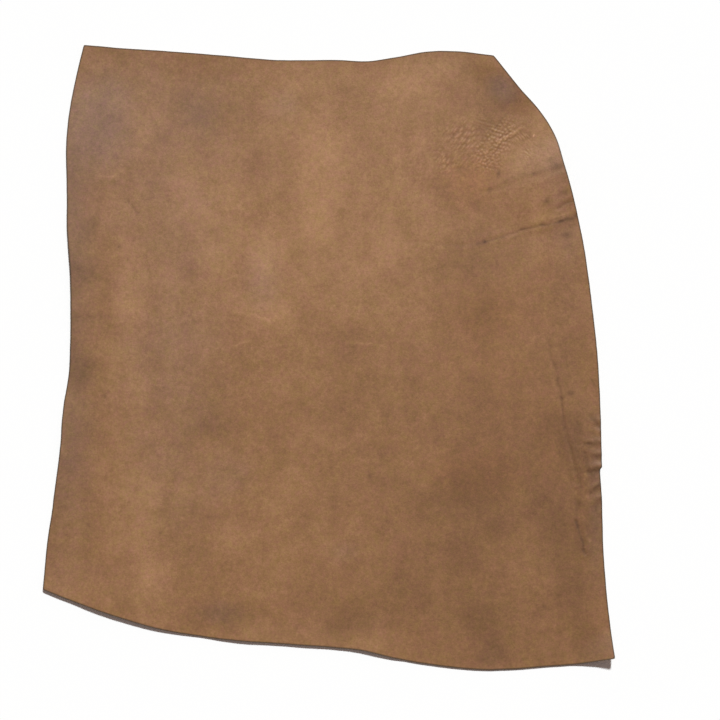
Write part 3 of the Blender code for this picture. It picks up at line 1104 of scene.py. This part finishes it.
# %% Lay out the map
MAP = 1024  # pixels each way, and the grain side has one for each mm
GAP = 5  # pixels between the pieces
FLESH_SCALE = 0.21  # pixels for each mm of the flesh side
STRIPS, STRIP_SCALE = 4, 6.0  # strips of wall, pixels for each mm down it


def lay_out_map(mesh):
    """Gives the mesh its map, in pixels first and then as shares of the image."""
    corner_vertex = read(mesh.loops, "vertex_index", 1)[:, 0].astype(int)
    size = read(mesh.polygons, "loop_total", 1)[:, 0].astype(int)
    first = read(mesh.polygons, "loop_start", 1)[:, 0].astype(int)
    slot = np.repeat(read(mesh.polygons, "material_index", 1)[:, 0], size)
    corner_x, corner_y = x[corner_vertex], y[corner_vertex]
    grain = np.stack([corner_x + WIDTH / 2, corner_y + LENGTH / 2], axis=1) + GAP
    flesh = np.stack([WIDTH / 2 - corner_x, corner_y + LENGTH / 2], axis=1) * FLESH_SCALE + GAP
    flesh[:, 0] += WIDTH + GAP

    around = sum(math.dist(a, b) for a, b in zip(rim_line, rim_line[1:]))
    walked = round_rim[corner_vertex] * around
    start = np.repeat(walked[first], size)
    step = (walked - start + around / 2) % around - around / 2
    strip = np.floor(start / (around / STRIPS))
    side = np.where(down < 0.5, -from_rim, from_rim) + ROUNDING
    drop = (down * THICKNESS + side)[corner_vertex] * STRIP_SCALE
    strip_height = (THICKNESS + 2 * ROUNDING) * STRIP_SCALE + GAP
    wall = np.stack(
        [
            2 * GAP + start - strip * around / STRIPS + step,
            LENGTH + 2 * GAP + strip * strip_height + drop,
        ],
        axis=1,
    )
    pixels = np.where((slot == GRAIN)[:, None], grain, np.where((slot == CUT)[:, None], wall, flesh))
    mesh.uv_layers.new(name="OFBake").uv.foreach_set("vector", (pixels / MAP).ravel())
    return pixels


pixels = lay_out_map(sheet)
print(f"the map uses {pixels[:, 0].max():.0f} by {pixels[:, 1].max():.0f} of {MAP} pixels")

# %% [markdown]
# ## Shader maths that reads like maths
#
# A material mixes many masks, and as separate Math nodes even `1 - mask * 0.4` takes five lines. The
# small class below wraps a socket and overloads the operators, so such an expression adds its own
# nodes. The reflected forms, such as `__rsub__`, are what lets a plain number stand first.

# %% Sockets that do maths
class Value:
    """The output of a node. Maths with it adds Math nodes."""

    def __init__(self, recipe, socket):
        self.recipe = recipe
        self.socket = socket

    def maths(self, operation, first, second):
        return self.recipe.node("Math", {"operation": operation}, {0: first, 1: second})

    def __add__(self, other):
        return self.maths("ADD", self, other)

    __radd__ = __add__

    def __sub__(self, other):
        return self.maths("SUBTRACT", self, other)

    def __rsub__(self, other):
        return self.maths("SUBTRACT", other, self)

    def __mul__(self, other):
        return self.maths("MULTIPLY", self, other)

    __rmul__ = __mul__


print("values can be added, subtracted and multiplied")

# %% [markdown]
# A recipe is one material, or the world, while it is built. One method adds any node, and the others
# are the few things that leather needs over and over. Colours go through Mix nodes, because a Math node
# would turn them grey. Noise here is 4D: the fourth number is a seed, so that each use has a pattern
# of its own.

# %% Recipes
NOISE_GAIN = 5.0  # Blender's noise stays close to 0.5, and this spreads it to about -1 to 1


class Recipe:
    """A material or a world that is built node by node."""

    def __init__(self, owner, main="Principled BSDF"):
        owner.use_nodes = True
        self.owner = owner
        self.tree = owner.node_tree
        self.surface = self.tree.nodes[main]

    def node(self, kind, settings, inputs, output=0):
        """Adds a node: its settings first, then the values or links of its sockets."""
        made = self.tree.nodes.new("ShaderNode" + kind)
        for name, value in settings.items():
            setattr(made, name, value)
        self.feed(made, inputs)
        return Value(self, made.outputs[output])

    def feed(self, node, inputs):
        """Sets or links a node's sockets."""
        for name, value in inputs.items():
            if isinstance(value, Value):
                self.tree.links.new(value.socket, node.inputs[name])
            else:
                node.inputs[name].default_value = value

    def stored(self, name):
        """An attribute of the mesh."""
        return self.node("Attribute", {"attribute_name": name}, {}, output="Fac")

    def place(self, stretch=(1, 1, 1)):
        """Where each point is, in mm along each axis, squeezed by stretch."""
        here = self.node("TexCoord", {}, {}, output="Object")
        per_mm = [1 / (MM * share) for share in stretch]
        return self.node("VectorMath", {"operation": "MULTIPLY"}, {0: here, 1: per_mm})

    def noise(self, size, detail=2.0, roughness=0.5, seed=0.0, stretch=(1, 1, 1)):
        """Random clouds around 0, mostly between -1 and 1. Size is how wide the largest are, in mm."""
        raw = self.node(
            "TexNoise",
            {"noise_dimensions": "4D"},
            {
                "Vector": self.place(stretch),
                "W": seed,
                "Scale": 1 / size,
                "Detail": detail,
                "Roughness": roughness,
            },
            output="Fac",
        )
        return (raw - 0.5) * NOISE_GAIN

    def step(self, value, start, stop):
        """0 before start and 1 after stop, with a soft change between them."""
        return self.node(
            "MapRange",
            {"interpolation_type": "SMOOTHSTEP"},
            {"Value": value, "From Min": start, "From Max": stop},
        )

    def mix(self, share, low, high, blend="MIX"):
        """A colour between low and high."""
        return self.node(
            "Mix",
            {"data_type": "RGBA", "blend_type": blend},
            {0: share, 6: low, 7: high},
            output=2,
        )

    def bump(self, height, depth, below=None):
        """Small relief of this depth in mm. It lies on top of the relief below."""
        inputs = {"Height": height, "Distance": depth * MM, "Strength": 1.0}
        if below:
            inputs["Normal"] = below
        return self.node("Bump", {}, inputs, output="Normal")


def new_material(name):
    """A recipe for a new material."""
    return Recipe(bpy.data.materials.new(name))


print("recipes can add", [name for name in vars(Recipe) if not name.startswith("_")])

# %% [markdown]
# ## The grain side
#
# This is vegetable tanned leather that took up an oil dye unevenly. Its colour has three scales. The
# stored patches are the large one. Clouds of all sizes down to a millimetre are the middle one, as
# strong when small as when large, which is what makes leather look like leather and not like smoke.
# With them go faint streaks along the hide, as a brush leaves. Specks of two sizes are the fine one.
#
# All of them are added into one number, how light the leather is, and a ramp of real leather colours
# turns that number into colour. So dark places also become redder and pale ones yellower, as dye does.

# %% Grain side: how light it is
TONE, WRINKLE_DYE_AND_SHADING = 0.32, 1.25  # how strongly the patches and the wrinkles' depth count
CLOUDS = [  # strength, size in mm, detail, roughness, stretch
    (0.39, 95.0, 6.0, 0.93, (1, 1, 1)),
    (0.07, 34.0, 3.0, 0.6, (1, 6, 1)),
    (0.12, 4.4, 1.0, 0.6, (1, 1, 1)),
    (0.16, 2.0, 1.0, 0.6, (1, 1, 1)),
]

grain = new_material("oiled_grain_side")
# The wrinkles' depth darkens the valleys, partly wax and partly painted shade, and lightens the
# cushions' tops as painted highlights.
light = grain.stored("tone") * TONE - grain.stored("wrinkle") * WRINKLE_DYE_AND_SHADING
for strength, size, detail, roughness, stretch in CLOUDS:
    light = light + grain.noise(size, detail, roughness, 1.0 + size, stretch) * strength
print(f"lightness from patches, wrinkles and {len(CLOUDS)} kinds of clouds and specks")

# %% [markdown]
# A Mix node blends between two colours only, so the ramp is a row of Mix nodes. Each one's share runs
# from 0 to 1 over its own stretch of lightness, and moves the colour on to the next one.

# %% Grain side: colour
LEATHER = [  # lightness, colour
    (-1.5, (0.100, 0.043, 0.0173, 1)),
    (-0.8, (0.162, 0.073, 0.0281, 1)),
    (-0.4, (0.209, 0.098, 0.0388, 1)),
    (0.0, (0.268, 0.129, 0.053, 1)),
    (0.4, (0.338, 0.171, 0.0765, 1)),
    (0.8, (0.412, 0.216, 0.101, 1)),
    (1.5, (0.560, 0.310, 0.1632, 1)),
]

(start, colour), *rest = LEATHER
for stop, following in rest:
    share = grain.node("MapRange", {}, {"Value": light, "From Min": start, "From Max": stop})
    colour = grain.mix(share, colour, following)
    start = stop
print(f"{len(LEATHER)} leather colours on the ramp")

# %% [markdown]
# Two things shift the hue without changing how light the leather is. The first is the stored patches:
# where they are above 0 the colour takes a cool tint's hue, and where they are below 0 a warm one's. A
# Mix node in its Color mode does that, since it keeps the lightness of its first colour. The second is
# specks where the dye is a little yellower or a little pinker, which multiply the colour.

# %% Grain side: hue
COOL_TINT, WARM_TINT = (0.262, 0.147, 0.092, 1), (0.268, 0.118, 0.0445, 1)
FULLY_TINTED = 1.1  # the strength of a patch at which its tint is complete
TINT = 0.85  # the share of the hue that a complete tint takes over
TINT_CLOUDS = 0.10  # how much clouds disturb the patches
YELLOWER, PINKER = (0.965, 1.038, 0.86, 1), (1.035, 0.962, 1.14, 1)
HUE_SPECKS = [(40.0, 0.20, 17.0), (11.0, 0.32, 15.0), (3.6, 0.48, 16.0)]  # (size, strength, seed), mm

clouds = grain.noise(60.0, detail=4.0, roughness=0.7, seed=4.0)
coolness = grain.stored("cool") + clouds * TINT_CLOUDS
cool_share = grain.step(coolness, 0.0, FULLY_TINTED)
warm_share = 1 - grain.step(coolness, -FULLY_TINTED, 0.0)
tinted = colour
for share, tint in ((cool_share, COOL_TINT), (warm_share, WARM_TINT)):
    tinted = grain.mix(share * TINT, tinted, grain.mix(1.0, colour, tint, "COLOR"))
share = 0.5
for size, strength, seed in HUE_SPECKS:
    share = grain.noise(size, detail=2.0, roughness=0.8, seed=seed) * strength + share
dyed = grain.mix(1.0, tinted, grain.mix(share, YELLOWER, PINKER), "MULTIPLY")
print(f"cool and warm tints, and {len(HUE_SPECKS)} sizes of hue specks")

# %% [markdown]
# Marks are what the lines and spots stored: painted shade along the creases, and stains at the spots.
# Fine noise makes them uneven. A dark line is painted along the rim: painted shade and colour fringe at
# the cut edge.

# %% Grain side: marks and the rim's painted dark line
MARK_COLOUR = (0.078, 0.031, 0.011, 1)
MARK_NOISE = 0.32  # how uneven marks are
# A dark line painted along the rim: painted shade and colour fringe at the cut edge.
RIM_SHADE = (0.050, 0.033, 0.013, 1)
RIM_SHADE_WIDTH = (0.6, 2.7)  # how far from the rim the line is whole, and where it ends, mm
RIM_SHADE_STRENGTH = 0.78  # how strong it is

uneven = grain.noise(5.0, detail=3.0, seed=5.0) * MARK_NOISE + 1.0
marked = grain.mix(grain.stored("mark") * uneven, dyed, MARK_COLOUR)
near_rim = 1 - grain.step(grain.stored("from_rim"), *RIM_SHADE_WIDTH)
grain.feed(grain.surface, {"Base Color": grain.mix(near_rim * RIM_SHADE_STRENGTH, marked, RIM_SHADE)})
print("marks and the rim's line are on")

# %% [markdown]
# Pores and pebbles are well under a millimetre, so they are bump. Two sizes of cells stand for the
# pebbles and their creases, and fine noise stands for pores. They are a little longer along the hide,
# as skin is that grew over a long back.

# %% Grain side: pebbles and pores
PEBBLES = [(1.9, 0.055, 6.0), (0.9, 0.025, 7.0)]  # (size, depth, seed), mm
PORES = (0.45, 0.02, 8.0)
CELL_STRETCH, CELL_SOFTNESS = (1, 1.25, 1), 0.35
CELL_HEIGHT, CELL_NOISE = 1.2, 0.12

normal = None
for size, depth, seed in PEBBLES:
    cloud = grain.noise(size * 3, seed=seed)
    cells = grain.node(
        "TexVoronoi",
        {"voronoi_dimensions": "2D", "feature": "SMOOTH_F1"},
        {"Vector": grain.place(CELL_STRETCH), "Scale": 1 / size, "Smoothness": CELL_SOFTNESS},
        output="Distance",
    )
    normal = grain.bump(1 - cells * CELL_HEIGHT + cloud * CELL_NOISE, depth, normal)
size, depth, seed = PORES
normal = grain.bump(grain.noise(size, seed=seed), depth, normal)
grain.feed(grain.surface, {"Normal": normal})
print(f"{len(PEBBLES)} sizes of pebbles, and pores of {PORES[0]} mm")

# %% [markdown]
# Oiled leather has a satin gloss. Pale places were rubbed, so they are a little glossier, and marks are
# duller. Clouds vary it as well, because no hand rubs evenly.

# %% Grain side: gloss
SATIN, RUBBED, DULL_MARKS, GLOSS_CLOUDS = 0.56, 0.04, 0.1, 0.04
OILED_IOR = 1.46

clouds = grain.noise(26.0, detail=4.0, roughness=0.7, seed=9.0)
rough = SATIN + clouds * GLOSS_CLOUDS - light * RUBBED + grain.stored("mark") * DULL_MARKS
grain.feed(grain.surface, {"Roughness": rough, "Metallic": 0.0, "IOR": OILED_IOR})
print(f"roughness around {SATIN}")

# %% [markdown]
# ## The flesh side
#
# The inner side is suede: paler, without gloss, and covered in short fibres that lie in loose swirls.
# It only shows where the rim lifts, and when the part is turned over. Real fibres would be millions of
# hairs, so stretched noise draws them, and the shader's sheen gives their soft glow at low angles.

# %% Flesh side
SUEDE_DARK, SUEDE_PALE = (0.265, 0.158, 0.090, 1), (0.410, 0.268, 0.165, 1)
SWIRLS, FIBRES, PATCHY = 0.5, 0.45, 0.15  # how strongly each changes the nap
FIBRE_DEPTH = 0.12
DRY = 0.92  # roughness

flesh = new_material("suede_flesh_side")
swirls = flesh.noise(70.0, detail=5.0, roughness=0.75, seed=11.0)
fibres = flesh.noise(2.4, detail=3.0, roughness=0.7, seed=12.0, stretch=(1, 2.2, 1))
nap = flesh.step(swirls * SWIRLS + fibres * FIBRES + flesh.stored("tone") * PATCHY, -1.0, 1.0)
flesh.feed(flesh.surface, {"Base Color": flesh.mix(nap, SUEDE_DARK, SUEDE_PALE)})
flesh.feed(flesh.surface, {"Normal": flesh.bump(fibres, FIBRE_DEPTH), "Roughness": DRY})
flesh.feed(flesh.surface, {"Sheen Weight": 0.25, "Sheen Roughness": 0.6, "Metallic": 0.0})
print("suede from swirls and fibres")

# %% [markdown]
# ## The cut edge
#
# Dye reaches in from both sides and leaves a paler core of packed fibres. How far down the wall a
# point lies was stored on the mesh, so a mask can show the dyed layers, and noise that is stretched
# along the wall frays their border.

# %% Cut edge
CORE, DYED = (0.255, 0.150, 0.082, 1), (0.052, 0.028, 0.017, 1)
GRAIN_LAYER = (0.26, 0.46)  # where the dyed layer ends, as shares of the way down the wall
FLESH_LAYER, FLESH_DYE = (0.86, 1.0), 0.35  # where the lower layer begins, and how dark it is
FRAY, FRAY_DEPTH = 0.06, 0.1

cut = new_material("burnished_cut_edge")
fray = cut.noise(1.4, detail=3.0, roughness=0.6, seed=13.0, stretch=(2.5, 2.5, 1))
down_wall = cut.stored("down") + fray * FRAY
layers = (1 - cut.step(down_wall, *GRAIN_LAYER)) + cut.step(down_wall, *FLESH_LAYER) * FLESH_DYE
cut.feed(cut.surface, {"Base Color": cut.mix(layers, CORE, DYED), "Roughness": 0.7})
cut.feed(cut.surface, {"Normal": cut.bump(fray, FRAY_DEPTH), "Metallic": 0.0})
print("a dyed layer over a paler core")

# %% [markdown]
# ## The finished piece
#
# The mesh takes its three materials, in the order of their numbers, and becomes an object in the place
# of the plain solid.

# %% The hide
for recipe in (flesh, grain, cut):
    sheet.materials.append(recipe.owner)
hide = bpy.data.objects.new("leather_hide", sheet)
bpy.context.scene.collection.objects.link(hide)

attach(hide, "root")
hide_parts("hide")
print("hide box in metres:", [round(side, 4) for side in hide.dimensions])

# %% [markdown]
# ## The table it lies on, and the light
#
# A hide is shown on a plain white surface, which is so wide that its end never shows.

# %% Floor
FLOOR_SIZE, FLOOR_GAP = 240.0, 0.0004  # metres; the gap keeps the floor off the hide's underside
FLOOR_WHITE = (0.975, 0.975, 0.975, 1)

bpy.ops.mesh.primitive_plane_add(size=FLOOR_SIZE, location=(0, 0, -FLOOR_GAP))
floor = bpy.context.object
floor.name = "floor"
white = new_material("white_table")
white.feed(white.surface, {"Base Color": FLOOR_WHITE, "Roughness": 1.0, "Specular IOR Level": 0.0})
floor.data.materials.append(white.owner)
print(f"a floor of {FLOOR_SIZE:.0f} m")

# %% [markdown]
# One soft lamp stands beyond the far end, a little to the right, so each rise throws its shadow towards
# the near edge. A sun lamp does it, since its light comes from one direction everywhere, and its angle
# makes the shadows soft. A dim surround fills them.

# %% Lamp
TO_LAMP = (0.165, 0.713, 0.682)
LAMP_COLOUR, LAMP_STRENGTH, LAMP_ANGLE = (0.94, 0.985, 1.0), 4.08, math.radians(6)

lamp = bpy.data.objects.new("studio_lamp", bpy.data.lights.new("studio_lamp", "SUN"))
lamp.data.energy = LAMP_STRENGTH
lamp.data.color = LAMP_COLOUR
lamp.data.angle = LAMP_ANGLE
lamp.rotation_euler = Vector(TO_LAMP).to_track_quat("Z", "Y").to_euler()
bpy.context.scene.collection.objects.link(lamp)
print(f"one lamp of {LAMP_STRENGTH}")

# %% [markdown]
# The surround is the world. A world that is bright enough for a pale background would wash the shadows
# out. So the light that it gives is dim, and only what is seen of it directly is white.

# %% Surround
SURROUND_COLOUR, SURROUND = (1.0, 0.78, 0.70, 1), 0.19
BACKDROP_COLOUR, BACKDROP = (1, 1, 1, 1), 1.0

studio = Recipe(bpy.data.worlds.new("studio"), "Background")
studio.feed(studio.surface, {"Color": SURROUND_COLOUR, "Strength": SURROUND})
backdrop = studio.node("Background", {}, {"Color": BACKDROP_COLOUR, "Strength": BACKDROP})
seen = studio.node("LightPath", {}, {}, output="Is Camera Ray")
surround = Value(studio, studio.surface.outputs["Background"])
either = studio.node("MixShader", {}, {0: seen, 1: surround, 2: backdrop})
studio.feed(studio.tree.nodes["World Output"], {"Surface": either})
bpy.context.scene.world = studio.owner
print(f"a surround of {SURROUND} behind a backdrop of {BACKDROP}")

# %% [markdown]
# ## The camera
#
# It looks straight down from three metres. The lens is worked out from the width of the view, so that
# the whole hide fits with some table around it. The Standard view transform keeps colours as they are.

# %% Camera
VIEW_WIDTH, VIEW_MIDDLE = 1.040, (0.0455, -0.0034)  # on the grain side, in metres
CAMERA_HEIGHT = 3.0
SENSOR = 36.0

camera = bpy.data.objects.new("camera", bpy.data.cameras.new("camera"))
camera.data.sensor_width = SENSOR
camera.data.lens = SENSOR * CAMERA_HEIGHT / VIEW_WIDTH
camera.data.clip_end = FLOOR_SIZE
camera.location = (*VIEW_MIDDLE, CAMERA_HEIGHT + THICKNESS * MM)
bpy.context.scene.collection.objects.link(camera)
bpy.context.scene.camera = camera
bpy.context.scene.view_settings.view_transform = "Standard"
print(f"a {camera.data.lens:.0f} mm lens")

# %% [markdown]
# ## Finish

# The mesh may stand proud of the plain solid by no more than a few per cent.

# %% Update the scene
bpy.context.view_layer.update()
